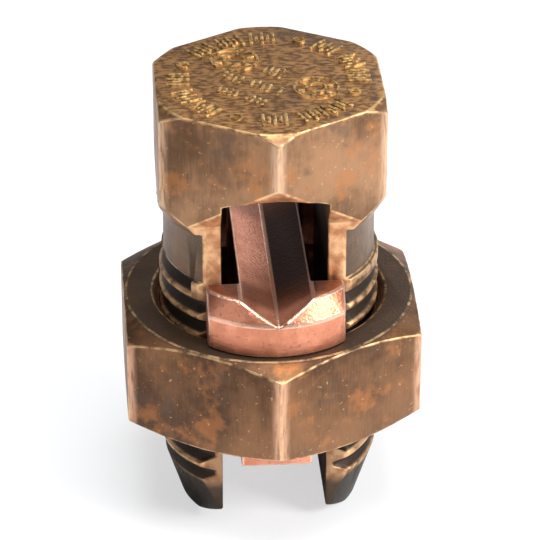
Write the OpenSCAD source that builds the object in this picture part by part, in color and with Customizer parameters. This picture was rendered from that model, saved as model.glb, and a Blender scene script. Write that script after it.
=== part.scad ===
// Split bolt connector: a slotted bolt, a grooved pressure bar and a captive nut.
// The slot and the conductors run along Y, the bolt stands on its two leg tips.

/* [Bolt] */
// Major diameter of the thread, 9/16 in
thread_d = 14.288; // [12:0.1:18]
// Length of the thread, from the leg tips to its run-out
thread_l = 18.3; // [16:0.1:22]
// Diameter of the smooth neck above the thread
neck_d = 13.7; // [12:0.1:15]
// Height of the smooth neck between the thread and the head
neck_h = 3.6; // [2:0.1:6]
// Radius of the turned end of the legs
tip_r = 5.9; // [5.2:0.1:6.4]
// Height of the turned taper at the leg ends
tip_h = 3.9; // [2:0.1:5]

/* [Head] */
// Across the flats of the hexagon head
head_af = 14.4; // [13.8:0.1:18]
// Height of the head, from its underside to its top
head_h = 8.3; // [7:0.1:12]
// Height of the turned undercut at the head's lower corners
undercut_h = 1.85; // [1:0.05:2.5]
// Diameter of the flat circle on top of the head
crown_d = 15.2; // [14.6:0.1:16]
// Drop of the turned chamfer at the head's upper corners
crown_drop = 0.66; // [0.3:0.02:1]

/* [Slot] */
// Width of the conductor slot
slot_w = 6.8; // [5:0.1:7.4]
// Metal left over the slot at its sides
roof_h = 5.8; // [3.5:0.1:6]
// Rise of the arched slot ceiling at its middle
arch_rise = 0.9; // [0.3:0.1:1.2]
// Distance from the bolt's axis to the flat lips beside the slot
lip_v = 5.2; // [4.6:0.1:5.8]
// Slope of the scoop that leads from the lips out through the head, from level
scoop_slope = 52; // [40:1:65]
// Height of the scoop's start above the head's underside
scoop_up = 0.6; // [0:0.1:1.5]
// Width of the flare on the inside of each leg tip
flare_w = 1.5; // [0.5:0.1:1.6]
// Height of that flare
flare_h = 1; // [0.5:0.1:2]

/* [Nut] */
// Across the flats of the nut, 3/4 in
nut_af = 19.05; // [18:0.1:24]
// Height of the nut
nut_h = 7.2; // [6:0.1:9]
// Height of the nut's underside above the leg tips
nut_z = 7.7; // [6:0.1:8.5]
// Drop of the chamfer at the nut's corners
nut_drop = 0.75; // [0.3:0.05:1]
// Width of the flat land outside the nut's countersinks
sink = 0.45; // [0.2:0.05:0.8]

/* [Pressure bar] */
// Height of the bar's lands above the nut
bar_h = 3.55; // [2.6:0.05:4]
// Width of the ears that hook round the lips
ear_w = 8.8; // [8:0.1:9.4]
// Distance from the axis to the front of an ear
ear_v = 9; // [8:0.1:9.2]
// Radius of the ear's curved front
ear_r = 6.6; // [5.5:0.1:8]
// Bevel along the ear's upper edge
ear_bevel = 0.85; // [0.3:0.05:1.2]
// Height of that bevel
ear_bevel_h = 1.25; // [0.5:0.05:2]
// Depth of that groove
groove_d = 1.3; // [0.4:0.05:2]
// Thickness of the bar in the slot and down through the nut
web_w = 4.6; // [3:0.1:4.8]
// Height of the staked foot below the nut
foot_h = 1.75; // [1:0.05:2]
// Draft of the foot's ends
foot_draft = 0.2; // [0:0.05:0.5]
// How far the foot reaches out under the nut
foot_reach = 0.6; // [0.3:0.05:0.9]

/* [Clearances] */
// Radial clearance of the nut on the legs
thread_gap = 0.06; // [0.03:0.01:0.1]
// Gap between the ears and the lips
slide_gap = 0.17; // [0.1:0.01:0.25]
// Gap round the web inside the nut
web_gap = 0.25; // [0.2:0.05:0.4]
// End play of the nut between the ears and the foot
end_play = 0.05; // [0.03:0.01:0.15]

/* [Hidden] */
$fn = 96;
over = 1;
thread_r = thread_d / 2;
head_z = thread_l + neck_h;
total_h = head_z + head_h;
head_corner_r = head_af / sqrt(3);
nut_corner_r = nut_af / sqrt(3);
nut_top = nut_z + nut_h;
bore_r = thread_r + thread_gap;
ceiling_z = total_h - roof_h;
arch_r = (pow(slot_w / 2, 2) + pow(arch_rise, 2)) / (2 * arch_rise);
bar_z = nut_top + end_play;
bar_top = nut_top + bar_h;
web_l = 2 * sqrt(pow(bore_r - web_gap, 2) - pow(web_w / 2, 2));

// A hexagon prism with corners on the Y axis
module hexagon(across, height) {
    rotate([0, 0, 30]) cylinder(h = height, d = across / cos(30), $fn = 6);
}

// Everything that the turned faces leave of the head
module head_turning() {
    side_r = head_corner_r + over;
    crown_slope = crown_drop / (head_corner_r - crown_d / 2);
    rotate_extrude() polygon([
        [0, head_z], [head_af / 2, head_z],
        [head_corner_r, head_z + undercut_h],
        [side_r, head_z + undercut_h + over * undercut_h / (head_corner_r - head_af / 2)],
        [side_r, total_h - crown_drop - over * crown_slope],
        [crown_d / 2, total_h], [0, total_h]
    ]);
}

// The slot with its arched ceiling, open through the leg tips
module conductor_slot() {
    length = 4 * head_corner_r;
    translate([-slot_w / 2, -length / 2, -over]) cube([slot_w, length, ceiling_z + over]);
    intersection() {
        translate([0, 0, ceiling_z + arch_rise - arch_r])
            rotate([90, 0, 0]) cylinder(h = length, r = arch_r, center = true);
        translate([-slot_w / 2, -length / 2, ceiling_z - over]) cube([slot_w, length, 2 * over]);
    }
    translate([0, length / 2, 0]) rotate([90, 0, 0]) linear_extrude(length)
        polygon([
            [-slot_w / 2 - flare_w, 0], [-slot_w / 2, flare_h], [slot_w / 2, flare_h],
            [slot_w / 2 + flare_w, 0], [slot_w / 2 + flare_w, -over], [-slot_w / 2 - flare_w, -over]
        ]);
}

// What is milled away in front of one pair of lips, up the sloping scoop in the head
module lip_cut() {
    scoop_z = head_z + scoop_up;
    reach = 2 * head_corner_r;
    width = 2 * thread_d;
    translate([-width / 2, 0, 0]) rotate([90, 0, 90]) linear_extrude(width) polygon([
        [-lip_v, -over], [-lip_v, scoop_z],
        [-lip_v - reach, scoop_z + reach * tan(scoop_slope)], [-lip_v - reach, -over]
    ]);
}

// Slotted bolt: hexagon head, neck and two legs in one piece
module split_bolt() {
    color([0.55, 0.40, 0.24]) difference() {
        union() {
            rotate_extrude() polygon([
                [0, 0], [tip_r, 0], [thread_r, tip_h], [thread_r, thread_l],
                [neck_d / 2, thread_l], [neck_d / 2, head_z + over], [0, head_z + over]
            ]);
            intersection() {
                translate([0, 0, head_z]) hexagon(head_af, head_h);
                head_turning();
            }
        }
        conductor_slot();
        lip_cut();
        rotate([0, 0, 180]) lip_cut();
    }
}

// Hexagon nut, chamfered and countersunk on both faces
module hex_nut() {
    flat_r = nut_af / 2 - 0.15;
    slope = nut_drop / (nut_corner_r - flat_r);
    color([0.50, 0.35, 0.21]) translate([0, 0, nut_z]) difference() {
        intersection() {
            hexagon(nut_af, nut_h);
            rotate_extrude() polygon([
                [0, 0], [flat_r, 0], [nut_corner_r + over, nut_drop + over * slope],
                [nut_corner_r + over, nut_h - nut_drop - over * slope], [flat_r, nut_h], [0, nut_h]
            ]);
        }
        translate([0, 0, -over]) cylinder(h = nut_h + 2 * over, r = bore_r);
        for (flip = [0, 1]) translate([0, 0, flip * nut_h]) mirror([0, 0, flip])
            translate([0, 0, -over])
                cylinder(h = sink + over, r1 = bore_r + sink + over, r2 = bore_r);
    }
}

// Plan of one ear: a curved front on a block that stops short of the lips
module ear_plan() {
    inner_v = lip_v + slide_gap;
    intersection() {
        translate([-ear_w / 2, -ear_v]) square([ear_w, ear_v - inner_v]);
        translate([0, ear_r - ear_v]) circle(r = ear_r);
    }
}

// One ear with the bevel along its curved upper edge
module ear() {
    cone_r = ear_r - ear_bevel;
    intersection() {
        translate([0, 0, bar_z]) linear_extrude(bar_h - end_play) ear_plan();
        translate([0, ear_r - ear_v, bar_top - ear_bevel_h]) union() {
            cylinder(h = ear_bevel_h, r1 = ear_r, r2 = cone_r);
            translate([0, 0, -bar_h]) cylinder(h = bar_h, r = ear_r);
        }
    }
}

// Grooved saddle with its ears, the web through the nut and the staked foot, in one piece
module pressure_bar() {
    saddle_l = 2 * (lip_v + slide_gap);
    foot_z = nut_z - end_play;
    groove_slope = 2 * groove_d / web_w;
    foot_l = 2 * (bore_r + foot_reach);
    color([0.75, 0.42, 0.32]) difference() {
        union() {
            translate([-web_w / 2, -saddle_l / 2, bar_z]) cube([web_w, saddle_l, bar_h - end_play]);
            for (side = [0, 180]) rotate([0, 0, side]) ear();
            translate([-web_w / 2, -web_l / 2, foot_z - foot_h])
                cube([web_w, web_l, bar_z - foot_z + foot_h]);
            translate([web_w / 2, 0, foot_z]) rotate([0, -90, 0]) linear_extrude(web_w)
                polygon([
                    [0, -foot_l / 2], [0, foot_l / 2], [-foot_h, foot_l / 2 - foot_draft],
                    [-foot_h, -foot_l / 2 + foot_draft]
                ]);
        }
        translate([0, ear_v + over, bar_top]) rotate([90, 0, 0])
            linear_extrude(2 * (ear_v + over))
                polygon([
                    [-web_w / 2 - over, over * groove_slope], [0, -groove_d],
                    [web_w / 2 + over, over * groove_slope]
                ]);
    }
}

split_bolt();
hex_nut();
pressure_bar();
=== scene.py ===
# %% [markdown]
# # Split bolt connector
# A split bolt clamps wires side by side. It is three pieces: a bronze bolt with a slot through it, a
# bronze nut, and a copper bar that the nut drives up the slot. The construction comes packed as a fixed
# frame, in metres. This script dresses that frame: it cuts the real thread, breaks the edges and gives
# each metal its finish.

# %% Load the frame
import math
import random

import bmesh
import bpy
from mathutils import Matrix, Vector
from mathutils.bvhtree import BVHTree


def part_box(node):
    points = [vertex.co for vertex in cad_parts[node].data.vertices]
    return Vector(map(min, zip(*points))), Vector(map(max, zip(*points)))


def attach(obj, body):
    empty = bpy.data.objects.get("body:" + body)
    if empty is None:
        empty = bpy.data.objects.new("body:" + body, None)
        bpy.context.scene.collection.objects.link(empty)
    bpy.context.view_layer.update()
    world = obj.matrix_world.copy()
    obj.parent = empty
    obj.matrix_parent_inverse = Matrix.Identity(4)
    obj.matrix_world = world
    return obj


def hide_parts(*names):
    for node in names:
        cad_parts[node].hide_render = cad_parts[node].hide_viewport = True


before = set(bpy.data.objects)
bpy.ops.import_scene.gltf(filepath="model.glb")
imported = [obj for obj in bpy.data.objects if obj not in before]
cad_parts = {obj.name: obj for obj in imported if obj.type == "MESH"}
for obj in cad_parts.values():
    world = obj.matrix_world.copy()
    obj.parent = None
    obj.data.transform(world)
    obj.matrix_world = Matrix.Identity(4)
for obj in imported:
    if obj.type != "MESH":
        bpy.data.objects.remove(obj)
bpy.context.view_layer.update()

MM = 0.001
bolt_low, bolt_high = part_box("split_bolt")
nut_low, nut_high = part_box("hex_nut")
bar_low, bar_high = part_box("pressure_bar")
for low, high in ((bolt_low, bolt_high), (nut_low, nut_high), (bar_low, bar_high)):
    print("a piece stands from", round(low[2] / MM, 2), "to", round(high[2] / MM, 2), "mm")

# %% [markdown]
# ## Camera
# A long lens a hand's length away keeps the hexagons nearly parallel. It looks down at about thirty
# degrees, and stands a little to the left, so that the front corner of the head falls right of the
# middle.

# %% Camera
CAMERA_AZIMUTH = math.radians(-4.3)
CAMERA_ELEVATION = math.radians(30)
CAMERA_DISTANCE = 215 * MM
LENS = 219
NEAREST_SEEN = 10 * MM
target = Vector((0.1 * MM, 0, nut_high[2] + 1.3 * MM))

offset = Vector((
    math.sin(CAMERA_AZIMUTH) * math.cos(CAMERA_ELEVATION),
    -math.cos(CAMERA_AZIMUTH) * math.cos(CAMERA_ELEVATION),
    math.sin(CAMERA_ELEVATION),
))
camera = bpy.data.objects.new("camera", bpy.data.cameras.new("camera"))
camera.data.lens = LENS
camera.data.clip_start = NEAREST_SEEN
camera.location = target + offset * CAMERA_DISTANCE
camera.rotation_euler = (-offset).to_track_quat("-Z", "Y").to_euler()
bpy.context.collection.objects.link(camera)
bpy.context.scene.camera = camera
bpy.context.scene.view_settings.view_transform = "Standard"
print("camera looks at, in mm:", [round(value / MM, 2) for value in target])

# %% [markdown]
# ## Shader maths as expressions
# A finish is a sum of masks: how worn, how dark, how rough. Nodes wired by hand hide that sum, so a small
# class wraps a socket and lets Python's operators add the Math nodes.

# %% Shader helpers
class Value:
    """A shader socket that can be used in sums."""

    def __init__(self, tree, socket):
        self.tree = tree
        self.socket = socket

    def node(self, kind, settings=None, output=0, **inputs):
        """Adds a node. An input is named, with _ for a space, or numbered as i0, i1 and so on."""
        made = self.tree.nodes.new(kind)
        for name, setting in (settings or {}).items():
            setattr(made, name, setting)
        for name, given in inputs.items():
            key = int(name[1:]) if name[0] == "i" and name[1:].isdigit() else name.replace("_", " ")
            if isinstance(given, Value):
                self.tree.links.new(given.socket, made.inputs[key])
            else:
                made.inputs[key].default_value = given
        return Value(self.tree, made.outputs[output])

    def math(self, operation, *values):
        inputs = {f"i{index}": value for index, value in enumerate(values)}
        return self.node("ShaderNodeMath", {"operation": operation}, **inputs)

    def __add__(self, other):
        return self.math("ADD", self, other)

    def __sub__(self, other):
        return self.math("SUBTRACT", self, other)

    def __mul__(self, other):
        return self.math("MULTIPLY", self, other)

    def __truediv__(self, other):
        return self.math("DIVIDE", self, other)

    def __radd__(self, other):
        return self.math("ADD", other, self)

    def __rsub__(self, other):
        return self.math("SUBTRACT", other, self)

    def __rmul__(self, other):
        return self.math("MULTIPLY", other, self)

    def __rtruediv__(self, other):
        return self.math("DIVIDE", other, self)

    def __abs__(self):
        return self.math("ABSOLUTE", self)

    def root(self):
        return self.math("SQRT", self)

    def at_least(self, floor):
        return self.math("MAXIMUM", self, floor)

    def split(self):
        """The x, y and z of a vector."""
        parts = self.node("ShaderNodeSeparateXYZ", None, i0=self)
        return [Value(self.tree, output) for output in parts.socket.node.outputs]

    def step(self, low, high):
        """0 below low, 1 above high, smooth between them."""
        settings = {"interpolation_type": "SMOOTHSTEP"}
        return self.node("ShaderNodeMapRange", settings, i0=self, i1=low, i2=high, i3=0.0, i4=1.0)

    def blend(self, low, high):
        """The colour low where this value is 0 and high where it is 1."""
        low = (*low, 1) if isinstance(low, tuple) else low
        high = (*high, 1) if isinstance(high, tuple) else high
        return self.node("ShaderNodeMix", {"data_type": "RGBA"}, output=2, i0=self, i6=low, i7=high)

    def into(self, shader, name):
        """Links this value to one of the shader's inputs."""
        self.tree.links.new(self.socket, shader.inputs[name])


def start_material(name):
    """A fresh material, its shader and its object coordinates in millimetres."""
    material = bpy.data.materials.new(name)
    material.use_nodes = True
    tree = material.node_tree
    shader = tree.nodes["Principled BSDF"]
    metres = Value(tree, tree.nodes.new("ShaderNodeTexCoord").outputs["Object"])
    place = metres.node("ShaderNodeVectorMath", {"operation": "SCALE"}, i0=metres, Scale=1 / MM)
    return material, shader, place


def noise(place, size, detail=4.0, stretch=(1, 1, 1), seed=0.0):
    """Cloudy noise from 0 to 1, with blots about size millimetres across."""
    shift = (seed, seed * 2, -seed)
    mapped = place.node("ShaderNodeMapping", None, Vector=place, Location=shift, Scale=stretch)
    settings = {"noise_dimensions": "3D"}
    return place.node("ShaderNodeTexNoise", settings, Vector=mapped, Scale=1 / size, Detail=detail)


def scratches(place, size, seed=0.0):
    """Fine upright scratches, as a die and a wrench leave them."""
    return noise(place, size, 3.0, stretch=(1, 1, 0.12), seed=seed)


def broken_edges(place):
    """The attribute that is 1 on the faces of broken edges."""
    return place.node("ShaderNodeAttribute", {"attribute_name": "edge_wear"}, output="Fac")


# %% [markdown]
# ## Where the bolt changes finish
# The bolt's finish follows its form: the head is bare, the scoop and lips below it are milled bright, and
# the neck, thread and tips are dark. The bottoms of the thread's groove and the slot's inner faces are
# darkened further as painted shade. These are the places where one gives way to the next, in
# millimetres: heights from the leg tips, and distances from the middle of the slot or from the bolt's
# axis.

# %% Places on the bolt
HEAD_UNDER = 21.9
SCOOP_Z = 22.5
SCOOP_STEEP = math.tan(math.radians(52))
SCOOP_TOP = 26.3
SCOOP_END_Y = 8.05
THREAD_TOP = 18.3
# Below the first radius the thread carries painted shade, and above the second it has its crest colour.
THREAD_SHADE_R = 6.85
THREAD_LIGHT_R = 7.06
LIP_Y = 5.2
SLOT_HALF = 3.4
TIP_TOP = 3.1
CROWN_TOP = bolt_high[2] / MM
NUT_TOP = nut_high[2] / MM
print("the thread ends", round(HEAD_UNDER - THREAD_TOP, 2), "mm under the head")

# %% [markdown]
# ## Worn bronze
# Handled bronze goes brown, with darker tarnish in blots and a rusty orange where it is thin. Corners and
# edges rub bright. The corner bands come from the distance to the axis, because a hexagon's corners are
# the only parts of its sides that lie far out. The narrow bright lines come from an attribute that marks
# the broken edges. Bolt and nut share this finish. Each adds its own darker or brighter places through a
# function of its own.

# %% Bronze
RUST = (0.40, 0.15, 0.045)
TARNISH = (0.07, 0.05, 0.04)
SPECK = (0.52, 0.33, 0.17)
RUBBED_EDGE = (0.66, 0.44, 0.23)
GREASE = (0.085, 0.066, 0.048)
# Painted shade for the slot's inner faces under the head.
SLOT_SHADE = (0.020, 0.014, 0.012)
# Broken edges shine only above these heights, because the ends of the legs are dark.
EDGES_FADE = (5.5, 7.5)


def bronze(name, tones, corner_from, corner_to, shades):
    """tones are the dark, mid and rubbed colours, and the corners are rubbed from one radius to the other.

    shades takes the colour so far, the place, the distance to the axis and the fine grime, and returns the
    colour with the piece's own places added.
    """
    material, shader, place = start_material(name)
    dark, mid, rubbed = tones
    x, y, z = place.split()
    radius = (x * x + y * y).root()
    blots = noise(place, 5.0, 4.0, stretch=(1, 1, 0.6), seed=3.1)
    grime = noise(place, 0.7, 6.0, seed=8.3)
    grain = noise(place, 0.13, 3.0, seed=1.7)
    rub = scratches(place, 0.16, seed=5.0)
    tone = (blots * 0.75 + grime * 0.15 + rub * 0.10).step(0.38, 0.62)
    colour = tone.blend(dark, mid)
    rust = (noise(place, 2.4, 5.0, seed=12.9) + (grime - 0.5) * 0.3).step(0.54, 0.68)
    colour = (rust * 0.45).blend(colour, RUST)
    tarnish = (noise(place, 2.2, 6.0, seed=21.4) + (grime - 0.5) * 0.3).step(0.58, 0.72)
    colour = (tarnish * 0.5).blend(colour, TARNISH)
    specks = noise(place, 0.28, 2.0, seed=31.0).step(0.66, 0.74)
    colour = (specks * 0.5).blend(colour, SPECK)
    colour = shades(colour, place, radius, grime)
    wear = radius.step(corner_from, corner_to) * (rub.step(0.25, 0.60) * 0.6 + 0.25)
    colour = wear.blend(colour, rubbed)
    edge = broken_edges(place) * z.step(*EDGES_FADE) * (grime.step(0.36, 0.62) * 0.65 + 0.04)
    colour = edge.blend(colour, RUBBED_EDGE)
    colour.into(shader, "Base Color")
    (0.44 - tone * 0.08 + grain * 0.14 - wear * 0.10).into(shader, "Roughness")
    shader.inputs["Metallic"].default_value = 0.8
    height = grain * 0.4 + grime * 0.6 + rub * 0.5
    bump = height.node("ShaderNodeBump", None, Strength=0.4, Distance=0.1 * MM, Height=height)
    bump.into(shader, "Normal")
    return material


def milled_lips(y, z):
    """1 along the scoop's slope and the flat lips below it, which share one bright cut."""
    ahead = abs(y) - LIP_Y - (z - SCOOP_Z).at_least(0.0) / SCOOP_STEEP
    on_cut = ahead.step(-0.14, -0.06) * (1 - ahead.step(0.06, 0.14))
    below_top = 1 - z.step(SCOOP_TOP - 0.1, SCOOP_TOP + 0.1)
    return on_cut * below_top * (1 - abs(y).step(SCOOP_END_Y - 0.15, SCOOP_END_Y + 0.15))


def crown_gold(place, x, grime):
    """The crown's streaked golden brown, with a dark tarnish spreading from one side."""
    streaks = noise(place, 0.24, 5.0, stretch=(0.5, 1, 1), seed=6.0)
    gold = (streaks * 0.7 + grime * 0.3).step(0.40, 0.60).blend((0.14, 0.068, 0.028), (0.47, 0.25, 0.095))
    spread = noise(place, 4.0, 4.0, seed=15.0).step(0.50, 0.62) * x.step(-2.0, 5.0)
    return (spread * 0.7).blend(gold, (0.055, 0.045, 0.05))


def bolt_shades(colour, place, radius, grime):
    """The neck and thread are dark with old grease, the milled lips are golden, the crown is golden brown.
    The bottoms of the thread's groove and the slot's inner faces are darkened as painted shade.
    """
    x, y, z = place.split()
    below_head = 1 - z.step(HEAD_UNDER - 0.2, HEAD_UNDER + 0.4)
    colour = (below_head * 0.62).blend(colour, GREASE)
    thread = 1 - z.step(THREAD_TOP - 0.3, THREAD_TOP + 0.1)
    shaded_roots = 1 - radius.step(THREAD_SHADE_R, THREAD_LIGHT_R)
    crests = grime.step(0.30, 0.60).blend((0.14, 0.075, 0.035), (0.52, 0.31, 0.16))
    colour = (thread * (1 - shaded_roots)).blend(colour, crests)
    # Painted shade: the bottoms of the thread's groove are darkened nearly to black, and the lips' notches a
    # little.
    colour = (thread * shaded_roots * 0.94).blend(colour, (0.030, 0.020, 0.014))
    # Painted shade: the slot's inner faces below the head are darkened nearly to black.
    slot_shade = 1 - abs(x).step(SLOT_HALF + 0.02, SLOT_HALF + 0.10)
    colour = (slot_shade * below_head * 0.9).blend(colour, SLOT_SHADE)
    golden = grime.step(0.35, 0.65).blend((0.40, 0.18, 0.08), (0.66, 0.38, 0.20))
    colour = (milled_lips(y, z) * (1 - thread * shaded_roots * 0.5)).blend(colour, golden)
    tips = 1 - z.step(TIP_TOP - 0.5, TIP_TOP + 0.5)
    colour = (tips * 0.9).blend(colour, (0.035, 0.026, 0.020))
    crown = z.step(CROWN_TOP - 0.25, CROWN_TOP - 0.1)
    return (crown * 0.85).blend(colour, crown_gold(place, x, grime))


def nut_shades(colour, place, radius, grime):
    """The nut's top face keeps its dark tarnish."""
    z = place.split()[2]
    top = z.step(NUT_TOP - 0.12, NUT_TOP - 0.02)
    return (top * 0.8).blend(colour, (0.065, 0.043, 0.028))


BOLT_TONES = ((0.115, 0.058, 0.028), (0.31, 0.165, 0.085), (0.58, 0.37, 0.24))
NUT_TONES = ((0.075, 0.036, 0.018), (0.205, 0.098, 0.044), (0.60, 0.34, 0.21))
bolt_bronze = bronze("bolt_bronze", BOLT_TONES, 7.95, 8.25, bolt_shades)
nut_bronze = bronze("nut_bronze", NUT_TONES, 10.62, 10.92, nut_shades)
print("bronze finishes:", bolt_bronze.name, nut_bronze.name)

# %% [markdown]
# ## Bare copper
# The bar is soft copper, pink where it is fresh. Casting pits and dull blots cover its faces, and its
# bevels shine. One flank of its groove is darkened nearly to black, and the ears are darkened near the
# top, both as painted shade.

# %% Copper
# Where the painted shade on one flank of the groove starts, is full, starts to fade and ends, across the bar.
SHADED_FLANK_X = (0.0, 0.2, 2.5, 2.8)
PIT = (0.28, 0.10, 0.06)
GROOVE_SHADE = (0.035, 0.018, 0.014)
EAR_SHADE = (0.16, 0.05, 0.02)
COPPER_SHINE = (0.90, 0.60, 0.46)


def copper(name):
    """Pitted copper, with painted shade on one groove flank and on the ears, placed by object coordinates."""
    material, shader, place = start_material(name)
    x, y, z = place.split()
    blots = noise(place, 1.6, 5.0, seed=4.0)
    pits = noise(place, 0.22, 4.0, seed=9.0)
    colour = blots.step(0.35, 0.65).blend((0.50, 0.19, 0.11), (0.68, 0.29, 0.18))
    colour = (pits.step(0.58, 0.70) * 0.6).blend(colour, PIT)
    wall_from, wall_full, wall_fading, wall_to = SHADED_FLANK_X
    # Painted shade: one flank of the groove, within the slot, is darkened nearly to black.
    shaded_flank = x.step(wall_from, wall_full) * (1 - x.step(wall_fading, wall_to)) * z.step(15.5, 16.5)
    inner = 1 - (abs(y) + blots).step(5.6, 8.2)
    colour = (shaded_flank * inner * 0.93).blend(colour, GROOVE_SHADE)
    # Painted shade: the ears are darkened near the top of the bar, under the head.
    shaded_ears = z.step(16.0, 17.0) * abs(y).step(3.8, 5.6) * (1 - abs(y).step(6.6, 7.6))
    colour = (shaded_ears * 0.6).blend(colour, EAR_SHADE)
    edge = broken_edges(place)
    colour = (edge * 0.5).blend(colour, COPPER_SHINE)
    colour.into(shader, "Base Color")
    (0.34 + blots * 0.16 - edge * 0.10).into(shader, "Roughness")
    shader.inputs["Metallic"].default_value = 0.9
    bump = pits.node("ShaderNodeBump", None, Strength=0.45, Distance=0.1 * MM, Height=pits)
    bump.into(shader, "Normal")
    return material


bar_copper = copper("bar_copper")
print("copper finish:", bar_copper.name)

# %% [markdown]
# ## From a frame solid to a finished piece
# The frame's solids have the right form and razor-sharp edges, which catch no light. A copy of each has
# its doubles merged and its flat faces joined up. Then every sharp edge is broken with a small bevel, and
# the bevel's faces are marked for the bright wear line. Where a very short edge throws a bevel's corner
# off the piece, that corner is set back on the surface.

# %% Piece helpers
SMOOTH_UNDER = math.radians(32)


def solid_copy(node_name):
    """A welded copy of a frame solid, with its flat faces joined up."""
    bm = bmesh.new()
    bm.from_mesh(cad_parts[node_name].data)
    bmesh.ops.remove_doubles(bm, verts=bm.verts, dist=0.06 * MM)
    bmesh.ops.dissolve_degenerate(bm, edges=bm.edges, dist=0.001 * MM)
    bmesh.ops.dissolve_limit(bm, angle_limit=math.radians(1), verts=bm.verts, edges=bm.edges)
    return bm


def break_edges(bm, width, sharper_than=28):
    """Bevels the sharp edges and marks the new faces."""
    wear = bm.faces.layers.float.new("edge_wear")
    surface = BVHTree.FromBMesh(bm)
    limit = math.radians(sharper_than)
    sharp = [edge for edge in bm.edges if len(edge.link_faces) == 2 and edge.calc_face_angle(0) > limit]
    made = bmesh.ops.bevel(
        bm, geom=sharp, affect="EDGES", offset=width, offset_type="OFFSET", segments=2, profile=0.5,
        material=-1, clamp_overlap=False,
    )
    for face in made["faces"]:
        face[wear] = 1.0
    for vert in bm.verts:
        nearest, _, _, distance = surface.find_nearest(vert.co)
        if distance > 0.6 * width:
            vert.co = nearest
    return len(sharp)


def shade_smooth(mesh):
    """Shades curves smooth and leaves true corners sharp."""
    for polygon in mesh.polygons:
        polygon.use_smooth = True
    mesh.set_sharp_from_angle(angle=SMOOTH_UNDER)


def to_object(bm, name, material):
    """A named object with one material, from a finished bmesh."""
    mesh = bpy.data.meshes.new(name)
    bmesh.ops.recalc_face_normals(bm, faces=bm.faces)
    bm.to_mesh(mesh)
    bm.free()
    made = bpy.data.objects.new(name, mesh)
    bpy.context.collection.objects.link(made)
    mesh.materials.append(material)
    shade_smooth(mesh)
    return made


def cut(piece, tool):
    """Takes the tool's solid away from the piece."""
    change = piece.modifiers.new("cut", "BOOLEAN")
    change.operation = "DIFFERENCE"
    change.solver = "EXACT"
    change.object = tool
    bpy.context.view_layer.update()
    finished = bpy.data.meshes.new_from_object(piece.evaluated_get(bpy.context.evaluated_depsgraph_get()))
    piece.modifiers.clear()
    piece.data = finished
    bpy.data.objects.remove(tool)
    shade_smooth(finished)


# %% [markdown]
# ## The thread
# A thread is one groove wound round a rod. So the groove is made as a solid: its section is spun round
# the axis while it climbs one pitch a turn, and the legs are cut with it. That leaves the true notched
# profile on the flat lips, where the slot cuts through the turns.

# %% Thread groove
PITCH = 25.4 / 18 * MM
THREAD_R = 7.144 * MM
THREAD_DEPTH = 0.72 * MM
THREAD_FROM = 3.0 * MM
THREAD_TO = (THREAD_TOP - 0.3) * MM
ROOT_HALF = PITCH / 8
PAST_CREST = 0.15 * MM
FLANK_ANGLE = math.radians(30)
STEPS_A_TURN = 60


def thread_groove():
    """The groove as a solid, a little proud of the legs so that it cuts clean through their surface."""
    turns = (THREAD_TO - THREAD_FROM) / PITCH
    root_r = THREAD_R - THREAD_DEPTH
    outer_r = THREAD_R + PAST_CREST
    outer_half = ROOT_HALF + (outer_r - root_r) * math.tan(FLANK_ANGLE)
    section = [(root_r, -ROOT_HALF), (outer_r, -outer_half), (outer_r, outer_half), (root_r, ROOT_HALF)]
    bm = bmesh.new()
    corners = [bm.verts.new((r, 0, THREAD_FROM + rise)) for r, rise in section]
    face = bm.faces.new(corners)
    steps = int(turns * STEPS_A_TURN)
    bmesh.ops.spin(
        bm, geom=[face] + face.edges[:] + corners, cent=(0, 0, 0), axis=(0, 0, 1),
        dvec=(0, 0, PITCH / STEPS_A_TURN), angle=2 * math.pi * steps / STEPS_A_TURN, steps=steps,
        use_merge=False, use_duplicate=False,
    )
    return bm


bm = solid_copy("split_bolt")
broken = break_edges(bm, 0.10 * MM)
bolt = to_object(bm, "bolt_threaded", bolt_bronze)
groove = to_object(thread_groove(), "thread_groove", bolt_bronze)
cut(bolt, groove)
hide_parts("split_bolt")
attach(bolt, "bolt")
print("bolt:", broken, "edges broken,", len(bolt.data.polygons), "faces")

# %% [markdown]
# ## Raised marks on the crown
# A forged head carries marks raised by the die. These spell nothing: a loose circle of hatching and rings
# runs round the rim, and three rows of strokes lie between two medallions. Each stroke is a bevelled bar
# sunk into the crown, so it reads as forged in one.

# %% Mark helpers
MARK_UP = 0.13 * MM
STROKE = 0.23 * MM
MARK_BEVEL = 0.07 * MM
CROWN_Z = bolt_high[2]
random.seed(7)


def around(angle):
    """The flat unit vector at an angle."""
    return Vector((math.cos(angle), math.sin(angle)))


def bar_mark(bm, centre, length, turn, width=STROKE):
    """A bevelled bar, half sunk in the crown."""
    made = bmesh.ops.create_cube(bm, size=1)
    bmesh.ops.scale(bm, verts=made["verts"], vec=(length, width, 2 * MARK_UP))
    edges = list({edge for vert in made["verts"] for edge in vert.link_edges})
    rounded = bmesh.ops.bevel(
        bm, geom=edges, affect="EDGES", offset=MARK_BEVEL, offset_type="OFFSET", segments=2, profile=0.5,
        material=-1,
    )
    verts = list({vert for face in rounded["faces"] for vert in face.verts})
    place = Matrix.Translation((*centre, CROWN_Z)) @ Matrix.Rotation(turn, 4, "Z")
    bmesh.ops.transform(bm, verts=verts, matrix=place)


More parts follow.
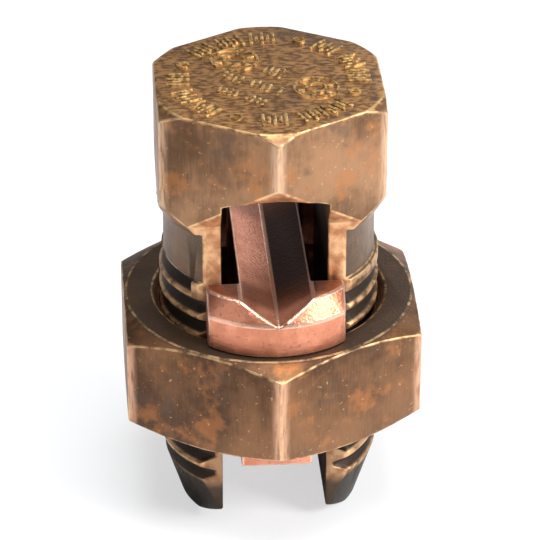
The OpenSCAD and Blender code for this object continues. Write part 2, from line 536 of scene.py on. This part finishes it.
def ring_mark(bm, centre, radius, steps=28, width=STROKE):
    """A ring with sloping sides, half sunk in the crown."""
    inner = radius - width / 2
    square = [bm.verts.new((inner + along, 0, rise)) for along, rise in
              ((0, -MARK_UP), (width, -MARK_UP), (width * 0.8, MARK_UP), (width * 0.2, MARK_UP))]
    face = bm.faces.new(square)
    before = set(bm.verts) - set(square)
    bmesh.ops.spin(
        bm, geom=[face] + face.edges[:] + square, cent=(0, 0, 0), axis=(0, 0, 1), dvec=(0, 0, 0),
        angle=math.tau, steps=steps, use_merge=True, use_duplicate=False,
    )
    made = [vert for vert in bm.verts if vert not in before]
    bmesh.ops.translate(bm, verts=made, vec=(*centre, CROWN_Z))


# %% Rim, medallions and rows
RIM_R = 5.75 * MM
RIM_COUNT = 16
RIM_JITTER = 0.04
RIM_RING_R = 0.34 * MM
HATCH_STEP = 0.36 * MM
HATCH_LENGTHS = (1.5 * MM, 0.8 * MM)
MEDALLIONS = [(Vector((-2.0, 2.7)) * MM, 1.5 * MM), (Vector((2.9, -1.6)) * MM, 1.4 * MM)]
SPOKES = 6
ROW_TURN = math.radians(-38)
ROW_STEP = 0.42
ROWS = ((0.9, 15, 1.35), (-1.2, 13, 1.1), (-3.0, 9, 0.9))
ROW_CLEARANCE = 2.1 * MM
STROKE_HEIGHTS = (1, 0.6, 1, 0.8)


def rim_marks(bm):
    """Patches of hatching round the rim, with a small ring at every fourth place."""
    for index in range(RIM_COUNT):
        angle = math.tau * index / RIM_COUNT + random.uniform(-RIM_JITTER, RIM_JITTER)
        centre = around(angle) * RIM_R
        across = Vector((-math.sin(angle), math.cos(angle)))
        if index % 4 == 3:
            ring_mark(bm, centre, RIM_RING_R, 16)
            continue
        for shift in range(-2, 3):
            bar_mark(bm, centre + across * shift * HATCH_STEP, HATCH_LENGTHS[shift % 2], angle)


def medallion(bm, centre, size):
    """Two rings with spokes between them."""
    ring_mark(bm, centre, size, 36)
    ring_mark(bm, centre, size * 0.45, 20)
    for spoke in range(SPOKES):
        angle = math.tau * spoke / SPOKES + 0.3
        bar_mark(bm, centre + around(angle) * size * 0.72, size * 0.35, angle)


def stroke_rows(bm):
    """Slanted rows of leaning strokes, left out at every fifth place and round the medallions."""
    row = around(ROW_TURN)
    up_row = Vector((-row.y, row.x))
    for line, count, height in ROWS:
        for index in range(count):
            centre = (row * (index - count / 2 + 0.5) * ROW_STEP + up_row * line) * MM
            clear = all((centre - place).length > ROW_CLEARANCE for place, size in MEDALLIONS)
            if clear and index % 5 != 4:
                length = height * MM * STROKE_HEIGHTS[index % 4]
                bar_mark(bm, centre, length, ROW_TURN + math.pi / 2 + 0.3)


def gilded_with_sheen(name):
    """Raised marks rubbed golden and lightened as a painted highlight, with grime left between."""
    material, shader, place = start_material(name)
    grime = noise(place, 0.35, 4.0, seed=2.0)
    # The golden colour is partly rubbed metal and partly a painted highlight.
    colour = grime.step(0.38, 0.60).blend((0.26, 0.14, 0.05), (0.86, 0.58, 0.24))
    colour.into(shader, "Base Color")
    shader.inputs["Metallic"].default_value = 0.85
    shader.inputs["Roughness"].default_value = 0.34
    return material


bm = bmesh.new()
rim_marks(bm)
for centre, size in MEDALLIONS:
    medallion(bm, centre, size)
stroke_rows(bm)
marks = to_object(bm, "crown_marks", gilded_with_sheen("crown_gold"))
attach(marks, "bolt")
print("crown marks:", len(marks.data.polygons), "faces")

# %% [markdown]
# ## Nut and bar
# Both keep their frame solid's form. The nut's corners are only just broken. The bar is soft, so its
# edges are rounder.

# %% Nut and bar
bm = solid_copy("hex_nut")
break_edges(bm, 0.09 * MM, 18)
nut = to_object(bm, "nut_finished", nut_bronze)
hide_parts("hex_nut")
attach(nut, "nut")

bm = solid_copy("pressure_bar")
break_edges(bm, 0.15 * MM, 25)
bar = to_object(bm, "bar_finished", bar_copper)
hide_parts("pressure_bar")
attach(bar, "bar")
print("nut and bar faces:", len(nut.data.polygons), len(bar.data.polygons))

# %% [markdown]
# ## Lamps
# A large lamp high on the right gives the light flanks and a faint one on the left fills. One overhead
# whitens the chamfers, and a faint one behind lifts the far edges.

# %% Lamps
def area_light(name, place, size, power):
    """A square lamp turned to the object: place and size in millimetres, power in watts."""
    lamp = bpy.data.lights.new(name, "AREA")
    lamp.size = size * MM
    lamp.energy = power
    holder = bpy.data.objects.new(name, lamp)
    holder.location = Vector(place) * MM
    holder.rotation_euler = (target - holder.location).to_track_quat("-Z", "Y").to_euler()
    bpy.context.collection.objects.link(holder)


area_light("key", (160, -90, 130), 90, 0.55)
area_light("fill", (-170, -120, 60), 90, 0.05)
area_light("top", (0, -35, 225), 130, 0.52)
area_light("back", (110, 200, 90), 80, 0.055)
print("lamps:", len(bpy.data.lights))

# %% [markdown]
# ## Room and floor
# The room is plain white where the camera sees it. The light it gives and the metal's reflections of it
# are dimmer, and brighter on the right than on the left, which shapes the hexagons. The floor is pale and
# lifted towards white for the camera, and it keeps the soft shadow under the legs.

# %% Room and floor
ROOM_LEAST = 0.13
ROOM_RISE = 0.30
FLOOR_HALF = 1.5
FLOOR_DROP = 0.02 * MM
FLOOR_LIFT = 0.6

world = bpy.data.worlds.new("studio")
bpy.context.scene.world = world
world.use_nodes = True
sky = world.node_tree
rays = sky.nodes.new("ShaderNodeLightPath")
by_camera = Value(sky, rays.outputs["Is Camera Ray"])
seen = by_camera.at_least(Value(sky, rays.outputs["Is Transmission Ray"]))
facing = Value(sky, sky.nodes.new("ShaderNodeTexCoord").outputs["Generated"])
room = facing.split()[0].step(-0.9, 0.9) * ROOM_RISE + ROOM_LEAST
background = sky.nodes["Background"]
background.inputs["Color"].default_value = (1, 1, 1, 1)
(seen + (1 - seen) * room).into(background, "Strength")

bm = bmesh.new()
bmesh.ops.create_grid(bm, x_segments=1, y_segments=1, size=FLOOR_HALF)
bmesh.ops.translate(bm, verts=bm.verts, vec=(0, 0, -FLOOR_DROP))
floor_white, floor_shader, floor_place = start_material("floor_white")
floor_shader.inputs["Base Color"].default_value = (0.93, 0.94, 0.96, 1)
floor_shader.inputs["Roughness"].default_value = 0.8
pale = Value(floor_place.tree, floor_shader.outputs["BSDF"])
glow = pale.node("ShaderNodeEmission", None, Color=(0.985, 0.992, 1, 1))
camera_ray = pale.node("ShaderNodeLightPath", None, output="Is Camera Ray")
lifted = pale.node("ShaderNodeMixShader", None, i0=camera_ray * FLOOR_LIFT, i1=pale, i2=glow)
lifted.into(floor_place.tree.nodes["Material Output"], "Surface")
floor = to_object(bm, "floor", floor_white)
print("floor lies", round(FLOOR_DROP / MM, 2), "mm under the leg tips")
